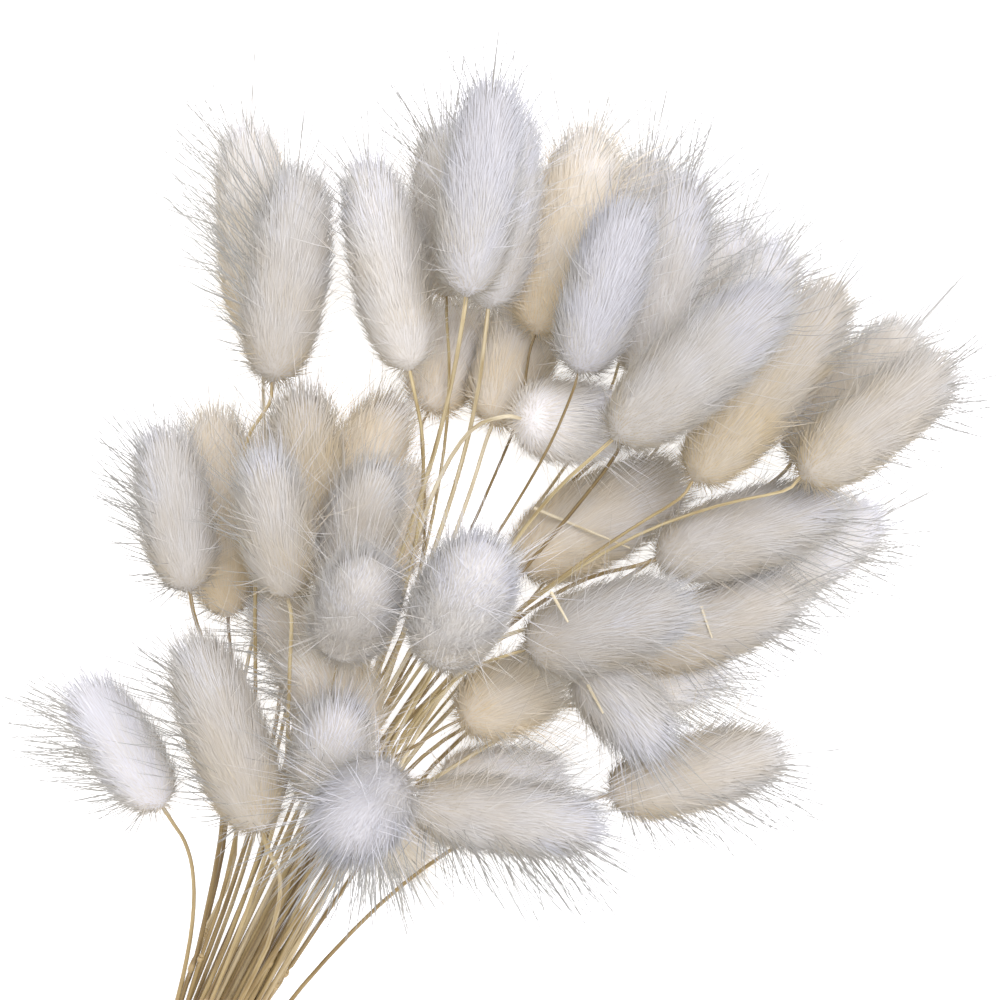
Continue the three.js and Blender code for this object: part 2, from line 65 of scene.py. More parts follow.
def placed(x, y, height):
    """Where a point of the view lies, in millimetres, if it is that high above the table."""
    nearer = (EYE_HEIGHT - height) / (EYE_HEIGHT - PLANE_HEIGHT)
    return lean_turn @ Vector((x * nearer, y * nearer, height)) + view_middle


def linear(code):
    """The linear colour of an sRGB hex code."""
    parts = [int(code[i : i + 2], 16) / 255 for i in (1, 3, 5)]
    return (*[c / 12.92 if c <= 0.04045 else ((c + 0.055) / 1.055) ** 2.4 for c in parts], 1.0)


def new_material(name, looks):
    """A material, its tree of nodes and its shader, whose inputs get the values in looks."""
    material = bpy.data.materials.new(name)
    material.use_nodes = True
    shader = material.node_tree.nodes["Principled BSDF"]
    for key, value in looks.items():
        shader.inputs[key].default_value = value
    return material, material.node_tree, shader


camera = bpy.data.objects.new("camera", bpy.data.cameras.new("camera"))
camera.data.sensor_width = SENSOR
camera.data.lens = SENSOR * (EYE_HEIGHT - PLANE_HEIGHT) / VIEW_WIDTH
camera.location = Vector((view_middle.x, view_middle.y, EYE_HEIGHT)) * MM
camera.rotation_euler = (0, 0, LEAN)
bpy.context.scene.collection.objects.link(camera)
bpy.context.scene.camera = camera


def soft_light(name, place, size, power, code):
    """A square studio light that looks at the middle of the heads."""
    lamp = bpy.data.lights.new(name, "AREA")
    lamp.size = size
    lamp.energy = power
    lamp.color = linear(code)[:3]
    light = bpy.data.objects.new(name, lamp)
    middle = placed(0, 0, PLANE_HEIGHT) * MM
    light.location = middle + lean_turn @ Vector(place)
    light.rotation_euler = (middle - light.location).to_track_quat("-Z", "Y").to_euler()
    bpy.context.scene.collection.objects.link(light)


soft_light("window", (0.45, 0.3, 2.1), 0.9, 48, "#eef0ff")

world = bpy.data.worlds.new("studio")
world.use_nodes = True
background = world.node_tree.nodes["Background"]
background.inputs["Color"].default_value = linear("#fffbf4")
background.inputs["Strength"].default_value = 0.99
bpy.context.scene.world = world
bpy.context.scene.view_settings.view_transform = "Standard"
bpy.context.scene.view_settings.gamma = 1.25

FLOOR_SIZE = 40
floor_mesh = bpy.data.meshes.new("table_top")
half = FLOOR_SIZE / 2
floor_corners = [(-half, -half, 0), (half, -half, 0), (half, half, 0), (-half, half, 0)]
floor_mesh.from_pydata(floor_corners, [], [(0, 1, 2, 3)])
table_top = bpy.data.objects.new("table_top", floor_mesh)
bpy.context.scene.collection.objects.link(table_top)
floor_looks = {
    "Base Color": linear("#fdfdff"),
    "Roughness": 0.9,
    "Emission Color": (1, 1, 1, 1),
    "Emission Strength": 0.68,
}
floor_mesh.materials.append(new_material("white_light_table", floor_looks)[0])


# The heads. Each is a short spike of seed under dense silky hair, which lies towards its tip, and
# long fine awns stand out of the hair. All of it grew, and dried from green to cream and white.

# Each row: its foot and its tip in the view, with their heights, and its girth, all in millimetres;
# then from 0 to 1 how yellow it is, how far painted shade dims it, and how long its awns are.
HEADS = [
    ((-45.6, 23.4, 46), (-39.4, 68, 50), 17, 0.28, 0.36, 0.7),
    ((-47.6, 31, 20), (-50.6, 77, 16), 15.6, 0.36, 0.08, 1.0),
    ((-18, 25.6, 52), (-27.4, 70, 46), 15.6, 0.22, 0.2, 0.5),
    ((-6.8, 40.4, 72), (-0.6, 85, 78), 16, 0.04, 0.38, 0.4),
    ((-2.4, 38, 52), (2.4, 80, 54), 16, 0.1, 0.3, 0.5),
    ((-10.6, 40.6, 34), (-10, 76.4, 32), 16, 0.3, 0.24, 1.0),
    ((-14.4, 17.6, 17), (-6.4, 40, 15), 15, 0.4, 0, 0.4),
    ((7, 33, 36), (20, 76, 38), 17.6, 0.54, 0, 0.9),
    ((-1.6, 15, 25), (8.6, 43, 21), 16.4, 0.45, 0, 0.4),
    ((15.6, 25.2, 62), (26.6, 60, 68), 16, 0.0, 0.4, 0.1),
    ((28, 24, 44), (38, 66.4, 42), 17, 0.2, 0.34, 0.8),
    ((38, 24, 7.2), (49, 55.6, 7.2), 15, 0.2, 0, 0.8),
    ((38, 20, 26), (57.6, 51, 26), 16, 0.2, 0.16, 0.7),
    ((22.4, 12, 72), (58, 43, 76), 18.6, 0.2, 0.44, 0.2),
    ((38.4, 3.6, 52), (69.6, 44, 48), 17.6, 0.55, 0.36, 0.5),
    ((58.4, 7.6, 30), (83.6, 35.6, 30), 16.4, 0.4, 0.21, 0.7),
    ((60, 4.4, 56), (91, 28, 54), 16.4, 0.4, 0.36, 0.6),
    ((4, 16.4, 46), (24, 15, 30), 17, 0.08, 0, 0.3),
    ((3, -13, 16), (38, 6, 16), 19, 0.5, 0.2, 0.5),
    ((31, -12, 38), (70, 0, 34), 17, 0.3, 0.4, 0.5),
    ((46, -20, 9), (77, -2, 9), 15, 0.2, 0.1, 0.7),
    ((27, -31, 28), (61.2, -17.6, 32), 16, 0.42, 0.34, 0.5),
    ((5, -30, 62), (38.6, -20, 66), 17.6, 0.3, 0.48, 0.5),
    ((17, -32.4, 48), (32.4, -49.6, 56), 16, 0.2, 0.36, 0.3),
    ((20, -40, 6.5), (44.4, -33, 6.5), 12.4, 0.2, 0, 0.8),
    ((21.6, -59, 40), (58, -49.6, 42), 15.6, 0.4, 0.32, 0.8),
    ((-17.6, -61, 52), (21.6, -65.6, 58), 15.6, 0.25, 0.36, 1.0),
    ((-12, -56, 7), (13, -56, 7), 13.6, 0.2, 0.1, 1.0),
    ((-8, -44, 26), (13, -33.6, 23), 16, 0.5, 0.15, 0.6),
    ((-30, -59, 13), (-15, -72.5, 7), 14, 0.5, 0, 0.6),
    ((-23, -57, 66), (-32.5, -68, 90), 20, 0.05, 0.36, 0.8),
    ((-36.4, -59, 42), (-31, -41, 60), 16.6, 0.25, 0.25, 0.5),
    ((-28.4, -48, 26), (-39.6, -29, 43), 18.6, 0.5, 0, 0.4),
    ((-31.5, -29, 60), (-26, -13, 90), 18.4, 0.25, 0.36, 0.6),
    ((-29, -41, 8), (-47.6, -18, 27), 17.4, 0.45, 0, 0.5),
    ((-33, -20, 44), (-23.6, 7.6, 62), 16, 0.4, 0.36, 0.5),
    ((-37.6, -7, 36), (-40, 22.4, 44), 15.6, 0.6, 0.31, 0.6),
    ((-42.4, -19.6, 58), (-47.6, 10.4, 64), 14.4, 0.35, 0.36, 0.4),
    ((-54.4, -23.6, 20), (-57.4, 19.6, 22), 15.6, 0.6, 0.11, 0.5),
    ((-44, -24, 7), (-47, 16, 7), 14, 0.55, 0, 0.5),
    ((-62, -18.4, 40), (-68, 15, 42), 15, 0.26, 0.34, 0.6),
    ((-33, -2, 21), (-20.4, 20.4, 25), 14, 0.6, 0.05, 0.6),
    ((-24, -18, 6.5), (-19.2, 7.6, 6.5), 13, 0.55, 0, 0.5),
    ((-67.4, -61.6, 24), (-84.4, -36, 24), 14.4, 0.0, 0.14, 1.0),
    ((-47.6, -66.4, 50), (-62.4, -26, 48), 17, 0.4, 0.36, 0.6),
    ((-12, -30, 74), (-2.6, -9.6, 106), 21, 0.16, 0.3, 0.6),
    ((25, 34, 7.5), (30, 70, 7.5), 15, 0.3, 0.3, 1.0),
]

# The core that the hair grows on: an oval that is a little smaller than the head with its fur.
CORE_RINGS = 20
CORE_SIDES = 20
CORE_SHARE = 0.86
CORE_END = 0.94
WIDEST_AT = 0.42
BLUNTNESS = 2.6
UNEVENNESS = 0.05
BUMPS_PER_METRE = 160
BUMPS_ROUND = 1.5
# The core is painted with the shade that the hairs have this far up from their roots.
CORE_RISE = 0.2

# Each layer of hair: its length and thickness in millimetres, how far it lifts and strays off the
# way it lies, how much its shading follows the soft outline of the head, and how it grows: by which
# share of the head it is full, and its part of the length at the foot and from there on.
FUR = dict(length=4.8, thickness=0.2, lift=0.36, stray=0.14, soft=0.94, growth=(0.3, 0.6, 1))
GUARD = dict(length=7, thickness=0.13, lift=0.6, stray=0.3, soft=0.92, growth=(1, 0.6, 1.6))
AWN = dict(length=19.6, thickness=0.25, lift=1.6, stray=0.6, soft=0.6, growth=(0.5, 0.4, 1))
FUR_SPACING = 0.47
FUR_DENSEST = 1.2e7
GUARDS_PER_HEAD = 560
AWNS_PER_HEAD = 310
CLUMPS_PER_METRE = 230.0
CLUMPING = 0.75
HAIR_SIZES = (0.7, 1.2)
FLOOR_CLEARANCE = 0.1

# A shaggy head has more and longer awns than a smooth one: each pair is for a shagginess of 0, and
# what a shagginess of 1 adds.
AWN_NUMBER = (0.25, 1.2)
AWN_REACH = (0.55, 0.65)

# Guard hair is worn off where a head faces up. Awns are bare where they stand out of the rim of
# the bunch, which starts and ends that far from the middle of the view in millimetres, and there
# they are painted grey as shade. Inside it fewer are left, and those are finer and as pale as the
# hair.
FACING_UP = (0.2, 0.8)
WORN_OFF = 0.3
RIM_STARTS = 42
RIM_ENDS = 60
FACING_OUT = (0.2, 0.7)
AWNS_LEFT_INSIDE = 0.45
FINEST_AWN = 0.42
GREY_FROM = 0.3
GREY_STEP = 0.01

# The tone of a hair, from 0, white, to 1, grey. It wanders in patches and from hair to hair, and
# pales from the foot of a head to its tip, partly its own colour and partly painted shade at the
# foot. Painted shade deepens it on the side away from the light.
PATCHES_PER_METRE = 120.0
PATCH_NOISE = (0.3, 0.7)
PATCHINESS = 0.14
PALER = (0.22, -0.3)
HAIR_TO_HAIR = 0.08
SHADED_SIDE = 0.16
PALEST = 0.02
YELLOWEST = 0.75
GREYEST = 0.98
GREY_AWN = 0.95

# How much hair shines as if lit from above, as light that scatters between the hairs does, and how
# far aside of its tone a corner may lie on the map that is baked, so that no face is flat there.
SCATTER = 0.2
BAKED_APART = 0.012


def add_node(tree, kind, inputs=(), **settings):
    """Adds a node with its settings. inputs gives a socket, by its name or number, its value, or
    its link: another socket, or a node, whose first output it then takes."""
    made = tree.nodes.new(kind)
    for name, value in settings.items():
        setattr(made, name, value)
    for key, value in dict(inputs).items():
        named = [s for s in made.inputs if s.enabled and s.name == key]
        socket = named[0] if named else made.inputs[key]
        if isinstance(value, bpy.types.Node):
            value = value.outputs[0]
        if isinstance(value, bpy.types.NodeSocket):
            tree.links.new(value, socket)
        else:
            socket.default_value = value
    return made


def set_stops(node, stops):
    """Gives a colour ramp its stops: places from 0 to 1, in order, each with a colour code."""
    ramp = node.color_ramp.elements
    for _ in stops[2:]:
        ramp.new(1.0)
    for stop, (place, code) in zip(ramp, stops):
        stop.position = place
        stop.color = linear(code)


def dried_hair():
    """Dried plant hair: silky, hollow and pale, so light passes from hair to hair and it looks
    soft. Painted shade darkens the roots. The tone runs from cool white to the yellow of old straw,
    and the awns, bare bristles, are painted grey as shade where they stand out of the rim."""
    looks = {
        "Roughness": 0.6,
        "Specular IOR Level": 0.2,
        "Sheen Weight": 0.3,
        "Sheen Roughness": 0.4,
    }
    material, tree, shader = new_material("dried_silky_plant_hair", looks)
    tone = add_node(tree, "ShaderNodeAttribute", attribute_name="tone")
    rise = add_node(tree, "ShaderNodeAttribute", attribute_name="rise")
    tones = add_node(tree, "ShaderNodeValToRGB", {"Fac": tone.outputs["Fac"]})
    hair_colours = [
        (0, "#f6f6ff"),
        (0.14, "#f4f1ed"),
        (0.34, "#e9e1d5"),
        (0.52, "#e7dac3"),
        (0.75, "#ebd3a7"),
        # The last two, grey, are for awns at the rim of the bunch: painted shade.
        (0.84, "#d2ccbe"),
        (0.95, "#b0aea8"),
    ]
    set_stops(tones, hair_colours)
    # Painted shade: the roots, and the core between them, are darker, where the hairs shade each
    # other.
    shade = add_node(tree, "ShaderNodeValToRGB", {"Fac": rise.outputs["Fac"]})
    set_stops(shade, [(0, "#ebe6de"), (0.5, "#ffffff")])
    colour = add_node(
        tree,
        "ShaderNodeMix",
        {0: 1.0, 6: tones.outputs["Color"], 7: shade.outputs["Color"]},
        data_type="RGBA",
        blend_type="MULTIPLY",
    )
    # Painted shade, set for each head, dims its colour, mostly on the heads that stand high in the
    # light.
    greyed = add_node(tree, "ShaderNodeAttribute", attribute_name="greyed")
    dimmed = add_node(
        tree,
        "ShaderNodeMix",
        {0: greyed.outputs["Fac"], 6: colour.outputs[2], 7: linear("#000000")},
        data_type="RGBA",
    )
    tree.links.new(dimmed.outputs[2], shader.inputs["Base Color"])
    return material


def grown_hair(name, joints, taper):
    """One hair, a metre long and thick, to be scaled: three-sided, closed, tapered to a point. The
    lower taper is, the longer it stays thick. joints gives shares of its length, and how many
    thicknesses it has bent aside by there."""
    verts = []
    faces = [(2, 1, 0)]
    for step, (share, aside) in enumerate(joints[:-1]):
        width = 0.5 * (1 - share) ** taper
        for side in range(3):
            angle = math.radians(120 * side)
            verts.append((aside + math.cos(angle) * width, math.sin(angle) * width, share))
        for side in range(3 if step else 0):
            low, high, turn = 3 * step - 3, 3 * step, (side + 1) % 3
            faces += [(low + side, low + turn, high + turn), (low + side, high + turn, high + side)]
    last = len(verts) - 3
    verts.append((joints[-1][1], 0, 1))
    faces += [(last + side, last + (side + 1) % 3, last + 3) for side in range(3)]
    mesh = bpy.data.meshes.new(name)
    mesh.from_pydata(verts, [], faces)
    mesh.attributes.new("rise", "FLOAT", "POINT").data.foreach_set("value", [v[2] for v in verts])
    return bpy.data.objects.new(name, mesh)


def rim_bareness_and_shade(tree, place, normal):
    """1 where hair stands out of the rim of the bunch, where awns are bare and painted grey as
    shade, 0 inside.
    """
    middle = placed(0, 0, PLANE_HEIGHT) * MM
    away = add_node(tree, "ShaderNodeVectorMath", {0: place, 1: middle}, operation="SUBTRACT")
    flat = add_node(tree, "ShaderNodeVectorMath", {0: away, 1: (1, 1, 0)}, operation="MULTIPLY")
    reach = add_node(tree, "ShaderNodeVectorMath", {0: flat}, operation="LENGTH")
    at_rim = add_node(
        tree,
        "ShaderNodeMapRange",
        {"Value": reach.outputs["Value"], "From Min": RIM_STARTS * MM, "From Max": RIM_ENDS * MM},
    )
    outward = add_node(tree, "ShaderNodeVectorMath", {0: flat}, operation="NORMALIZE")
    facing = add_node(
        tree, "ShaderNodeVectorMath", {0: normal, 1: outward}, operation="DOT_PRODUCT"
    )
    rimward = add_node(
        tree,
        "ShaderNodeMapRange",
        {"Value": facing.outputs["Value"], "From Min": FACING_OUT[0], "From Max": FACING_OUT[1]},
    )
    return add_node(tree, "ShaderNodeMath", {0: at_rim, 1: rimward}, operation="MULTIPLY")


def hair_layer(tree, head, layer, hair, points, length, seed):
    """One layer of hair: it lies along the head towards the tip and lifts off it a little."""
    axis = head["Head Axis"]
    normal = points.outputs["Normal"]
    facing = add_node(tree, "ShaderNodeVectorMath", {0: normal, 1: axis}, operation="DOT_PRODUCT")
    rounding = add_node(
        tree,
        "ShaderNodeMapRange",
        {
            "Value": facing.outputs["Value"],
            "From Min": -1.0,
            "From Max": 0.0,
            "To Min": 1 + layer["lift"],
            "To Max": layer["lift"],
        },
    )
    outward = add_node(
        tree, "ShaderNodeVectorMath", {0: normal, "Scale": rounding}, operation="SCALE"
    )
    place = add_node(tree, "GeometryNodeInputPosition")
    swirl = add_node(
        tree, "ShaderNodeTexNoise", {"Vector": place, "Scale": head["Clump Scale"], "Detail": 1.5}
    )
    centred = add_node(
        tree,
        "ShaderNodeVectorMath",
        {0: swirl.outputs["Color"], 1: (0.5, 0.5, 0.5)},
        operation="SUBTRACT",
    )
    clump = add_node(
        tree, "ShaderNodeVectorMath", {0: centred, "Scale": head["Clumping"]}, operation="SCALE"
    )
    loose = add_node(
        tree,
        "FunctionNodeRandomValue",
        {0: [-layer["stray"]] * 3, 1: [layer["stray"]] * 3, "Seed": seed + 1},
        data_type="FLOAT_VECTOR",
    )
    way = axis
    for part in (outward, clump, loose):
        way = add_node(tree, "ShaderNodeVectorMath", {0: way, 1: part})
    upright = add_node(tree, "FunctionNodeAlignRotationToVector", {"Vector": way}, axis="Z")
    turned = add_node(
        tree,
        "FunctionNodeAlignRotationToVector",
        {"Rotation": upright, "Vector": axis},
        axis="X",
        pivot_axis="Z",
    )
    from_start = add_node(
        tree, "ShaderNodeVectorMath", {0: place, 1: head["Head Start"]}, operation="SUBTRACT"
    )
    run = add_node(tree, "ShaderNodeVectorMath", {0: from_start, 1: axis}, operation="DOT_PRODUCT")
    share = add_node(
        tree, "ShaderNodeMapRange", {"Value": run.outputs["Value"], "From Max": head["Head Length"]}
    )
    full_from, at_foot, at_tip = layer["growth"]
    shorter = add_node(
        tree,
        "ShaderNodeMapRange",
        {"Value": share, "From Max": full_from, "To Min": at_foot, "To Max": at_tip},
    )
    size = add_node(
        tree,
        "FunctionNodeRandomValue",
        {2: HAIR_SIZES[0], 3: HAIR_SIZES[1], "Seed": seed + 2},
        data_type="FLOAT",
    )
    sized = add_node(tree, "ShaderNodeMath", {0: shorter, 1: size.outputs[1]}, operation="MULTIPLY")
    long = add_node(tree, "ShaderNodeMath", {0: length, 1: sized}, operation="MULTIPLY")
    upness = add_node(tree, "ShaderNodeSeparateXYZ", {0: normal}).outputs[2]
    rimward = rim_bareness_and_shade(tree, place, normal)
    full = layer["thickness"] * MM
    finest = full * (FINEST_AWN if layer is AWN else 1)
    thick = add_node(tree, "ShaderNodeMapRange", {"Value": rimward, "To Min": finest, "To Max": full})
    scale = add_node(tree, "ShaderNodeCombineXYZ", {0: thick, 1: thick, 2: long})
    grown = add_node(tree, "GeometryNodeObjectInfo", {"Object": hair, "As Instance": True})
    instances = add_node(
        tree,
        "GeometryNodeInstanceOnPoints",
        {
            "Points": points.outputs["Points"],
            "Instance": grown.outputs["Geometry"],
            "Rotation": turned,
            "Scale": scale,
        },
    )
    patch = add_node(
        tree, "ShaderNodeTexNoise", {"Vector": place, "Scale": PATCHES_PER_METRE, "Detail": 2.0}
    )
    patchy = add_node(
        tree,
        "ShaderNodeMapRange",
        {
            "Value": patch,
            "From Min": PATCH_NOISE[0],
            "From Max": PATCH_NOISE[1],
            "To Min": -PATCHINESS,
            "To Max": PATCHINESS,
        },
    )
    # Paler towards the tip: partly the head's own cream foot and white tip, partly painted shade at
    # the foot.
    paler = add_node(
        tree, "ShaderNodeMapRange", {"Value": share, "To Min": PALER[0], "To Max": PALER[1]}
    )
    spread = add_node(
        tree,
        "FunctionNodeRandomValue",
        {2: -HAIR_TO_HAIR, 3: HAIR_TO_HAIR, "Seed": seed + 3},
        data_type="FLOAT",
    )
    # Painted shade: the tone deepens on a head's sides and underside, away from the light.
    side = add_node(
        tree,
        "ShaderNodeMapRange",
        {
            "Value": upness,
            "From Min": FACING_UP[0],
            "From Max": FACING_UP[1],
            "To Min": SHADED_SIDE,
            "To Max": 0.0,
        },
    )
    total = head["Yellowness"]
    for part in (spread.outputs[1], patchy, paler, side):
        total = add_node(tree, "ShaderNodeMath", {0: total, 1: part}, operation="ADD")
    # Awns that stand out of the rim of the bunch get a grey tone there: painted shade.
    if layer is AWN:
        total = add_node(
            tree,
            "ShaderNodeMapRange",
            {
                "Value": rimward,
                "From Min": GREY_FROM,
                "From Max": GREY_FROM + GREY_STEP,
                "To Min": total,
                "To Max": GREY_AWN,
            },
        )
    tone = add_node(
        tree,
        "ShaderNodeClamp",
        {"Value": total, "Min": PALEST, "Max": GREYEST if layer is AWN else YELLOWEST},
    )
    toned = add_node(
        tree,
        "GeometryNodeStoreNamedAttribute",
        {"Geometry": instances, "Name": "tone", 3: tone},
        data_type="FLOAT",
        domain="INSTANCE",
    )
    softness = layer["soft"] / (1 - layer["soft"])
    softened = add_node(
        tree, "ShaderNodeVectorMath", {0: normal, "Scale": softness}, operation="SCALE"
    )
    skyward = (0, 0, SCATTER * softness)
    glowing = add_node(tree, "ShaderNodeVectorMath", {0: softened, 1: skyward})
    return add_node(
        tree,
        "GeometryNodeStoreNamedAttribute",
        {"Geometry": toned, "Name": "lay", "Value": glowing},
        data_type="FLOAT_VECTOR",
        domain="INSTANCE",
    )


def kept_above(tree, geometry):
    """Presses whatever would reach below the table flat onto it."""
    place = add_node(tree, "GeometryNodeInputPosition")
    apart = add_node(tree, "ShaderNodeSeparateXYZ", {0: place})
    above = add_node(
        tree, "ShaderNodeMath", {0: apart.outputs[2], 1: FLOOR_CLEARANCE * MM}, operation="MAXIMUM"
    )
    kept = add_node(tree, "ShaderNodeCombineXYZ", {0: apart, 1: apart.outputs[1], 2: above})
    return add_node(tree, "GeometryNodeSetPosition", {"Geometry": geometry, "Position": kept})


def new_tree(name, sizes):
    """A tree of nodes that takes and gives geometry, and its inputs. Each size is a name, a kind
    of socket and a first value."""
    tree = bpy.data.node_groups.new(name, "GeometryNodeTree")
    for label, kind, default in (("Geometry", "Geometry", None), *sizes):
        socket = tree.interface.new_socket(label, in_out="INPUT", socket_type=f"NodeSocket{kind}")
        if default is not None:
            socket.default_value = default
    tree.interface.new_socket("Geometry", in_out="OUTPUT", socket_type="NodeSocketGeometry")
    return tree, add_node(tree, "NodeGroupInput").outputs


def fur_tree():
    """Grows three layers of hair on a head's core: short fur, longer guard hairs, and awns."""
    tree, head = new_tree(
        "fur_of_a_head",
        [
            ("Head Start", "Vector", None),
            ("Head Axis", "Vector", None),
            ("Head Length", "Float", None),
            ("Yellowness", "Float", None),
            ("Painted Dimming", "Float", None),
            ("Fur Spacing", "Float", FUR_SPACING * MM),
            ("Fur Length", "Float", FUR["length"] * MM),
            ("Guard Density", "Float", None),
            ("Guard Length", "Float", GUARD["length"] * MM),
            ("Awn Density", "Float", None),
            ("Awn Length", "Float", AWN["length"] * MM),
            ("Clump Scale", "Float", CLUMPS_PER_METRE),
            ("Clumping", "Float", CLUMPING),
            ("Hair Material", "Material", None),
        ],
    )
    core = head["Geometry"]
    dense = add_node(
        tree,
        "GeometryNodeDistributePointsOnFaces",
        {"Mesh": core, "Distance Min": head["Fur Spacing"], "Density Max": FUR_DENSEST, "Seed": 11},
        distribute_method="POISSON",
    )
    outside = add_node(tree, "GeometryNodeInputNormal")
    upward = add_node(tree, "ShaderNodeSeparateXYZ", {0: outside})
    worn = add_node(
        tree,
        "ShaderNodeMapRange",
        {
            "Value": upward.outputs[2],
            "From Min": FACING_UP[0],
            "From Max": FACING_UP[1],
            "To Min": 1.0,
            "To Max": WORN_OFF,
        },
    )
    root_place = add_node(tree, "GeometryNodeInputPosition")
    rimward = rim_bareness_and_shade(tree, root_place, outside)
    kept = add_node(
        tree, "ShaderNodeMapRange", {"Value": rimward, "To Min": AWNS_LEFT_INSIDE, "To Max": 1.0}
    )
    awns = add_node(tree, "ShaderNodeMath", {0: head["Awn Density"], 1: kept}, operation="MULTIPLY")
    guards = add_node(
        tree, "ShaderNodeMath", {0: head["Guard Density"], 1: worn}, operation="MULTIPLY"
    )
    sparse = [
        add_node(
            tree,
            "GeometryNodeDistributePointsOnFaces",
            {"Mesh": core, "Density": density, "Seed": seed},
            distribute_method="RANDOM",
        )
        for density, seed in ((guards, 23), (awns, 37))
    ]
    layers = [
        hair_layer(tree, head, FUR, fur_hair, dense, head["Fur Length"], 41),
        hair_layer(tree, head, GUARD, guard_hair, sparse[0], head["Guard Length"], 53),
        hair_layer(tree, head, AWN, awn_hair, sparse[1], head["Awn Length"], 67),
    ]
    grown = add_node(tree, "GeometryNodeJoinGeometry")
    for layer in layers:
        tree.links.new(layer.outputs[0], grown.inputs[0])
    real = add_node(tree, "GeometryNodeRealizeInstances", {0: grown})
    whole = add_node(tree, "GeometryNodeJoinGeometry")
    tree.links.new(real.outputs[0], whole.inputs[0])
    tree.links.new(core, whole.inputs[0])
    settled = kept_above(tree, whole)
    tone = add_node(tree, "GeometryNodeInputNamedAttribute", {"Name": "tone"}, data_type="FLOAT")
    rise = add_node(tree, "GeometryNodeInputNamedAttribute", {"Name": "rise"}, data_type="FLOAT")
    index = add_node(tree, "GeometryNodeInputIndex")
    aside = add_node(
        tree, "FunctionNodeRandomValue", {2: -BAKED_APART, 3: BAKED_APART, "ID": index}
    )
    across = add_node(tree, "ShaderNodeMath", {0: tone, 1: aside.outputs[1]}, operation="ADD")
    on_map = add_node(tree, "ShaderNodeCombineXYZ", {0: across, 1: rise})
    mapped = add_node(
        tree,
        "GeometryNodeStoreNamedAttribute",
        {"Geometry": settled, "Name": "OFBake", "Value": on_map},
        data_type="FLOAT2",
        domain="CORNER",
    )
    # Each head's painted shade, which dims its colour.
    greyed = add_node(
        tree,
        "GeometryNodeStoreNamedAttribute",
        {"Geometry": mapped, "Name": "greyed", 3: head["Painted Dimming"]},
        data_type="FLOAT",
        domain="POINT",
    )
    lay = add_node(
        tree, "GeometryNodeInputNamedAttribute", {"Name": "lay"}, data_type="FLOAT_VECTOR"
    )
    own = add_node(tree, "GeometryNodeInputNormal")
    both = add_node(tree, "ShaderNodeVectorMath", {0: lay, 1: own})
    way = add_node(tree, "ShaderNodeVectorMath", {0: both}, operation="NORMALIZE")
    shaded = add_node(
        tree,
        "GeometryNodeSetMeshNormal",
        {"Mesh": greyed, "Custom Normal": way},
        mode="FREE",
        domain="CORNER",
    )
    painted = add_node(
        tree, "GeometryNodeSetMaterial", {"Geometry": shaded, "Material": head["Hair Material"]}
    )
    add_node(tree, "NodeGroupOutput", {0: painted})
    return tree


def core_of(start, axis, length, radius, yellowness, number):
    """The woolly body of a head: an oval that is fullest below its middle and a little uneven."""
    side_way = axis.orthogonal().normalized()
    other_way = axis.cross(side_way)
    verts = [start]
    for ring in range(1, CORE_RINGS):
        share = ring / CORE_RINGS
        half = WIDEST_AT if share < WIDEST_AT else 1 - WIDEST_AT
        full = math.sqrt(1 - abs((share - WIDEST_AT) / half) ** BLUNTNESS)
        for side in range(CORE_SIDES):
            angle = math.tau * (side + ring % 2 / 2) / CORE_SIDES
            out = side_way * math.cos(angle) + other_way * math.sin(angle)
            point = start + axis * (length * CORE_END * share)
            where = point * BUMPS_PER_METRE + out * BUMPS_ROUND + Vector((number, 0, 0))
            uneven = 1 + UNEVENNESS * noise.noise(where)
            verts.append(point + out * (radius * CORE_SHARE * full * uneven))
    verts.append(start + axis * (length * CORE_END))
    faces = []
    for side in range(CORE_SIDES):
        after = (side + 1) % CORE_SIDES
        faces.append((0, 1 + after, 1 + side))
        for ring in range(CORE_RINGS - 2):
            low = 1 + ring * CORE_SIDES
            high = low + CORE_SIDES
            faces.append((low + side, low + after, high + after, high + side))
        top = 1 + (CORE_RINGS - 2) * CORE_SIDES
        faces.append((top + side, top + after, len(verts) - 1))
    mesh = bpy.data.meshes.new("core")
    mesh.from_pydata(verts, [], faces)
    mesh.shade_smooth()
    for label, value in (("rise", CORE_RISE), ("tone", yellowness)):
        values = [value] * len(verts)
        mesh.attributes.new(label, "FLOAT", "POINT").data.foreach_set("value", values)
    return mesh


def grown_object(name, mesh, tree, settings):
    """A plain mesh object, made by running a mesh through a tree of nodes with those inputs."""
    maker = bpy.data.objects.new("maker", mesh)
    bpy.context.scene.collection.objects.link(maker)
    making = maker.modifiers.new("making", "NODES")
    making.node_group = tree
    for item in tree.interface.items_tree:
        if item.in_out == "INPUT" and item.name in settings:
            making[item.identifier] = settings[item.name]
    bpy.context.view_layer.update()
    made = maker.evaluated_get(bpy.context.evaluated_depsgraph_get())
    solid = bpy.data.objects.new(name, bpy.data.meshes.new_from_object(made))
    bpy.context.scene.collection.objects.link(solid)
    bpy.data.objects.remove(maker)
    return solid


fur_hair = grown_hair("fur_hair", [(0, 0), (1, 0)], 1)
guard_hair = grown_hair("guard_hair", [(0, 0), (0.5, 1.5), (1, 7)], 0.6)
awn_hair = grown_hair("awn_hair", [(0, 0), (0.55, 1.6), (1, 6)], 0.3)
hair_material = dried_hair()
fur = fur_tree()
head_ends = []

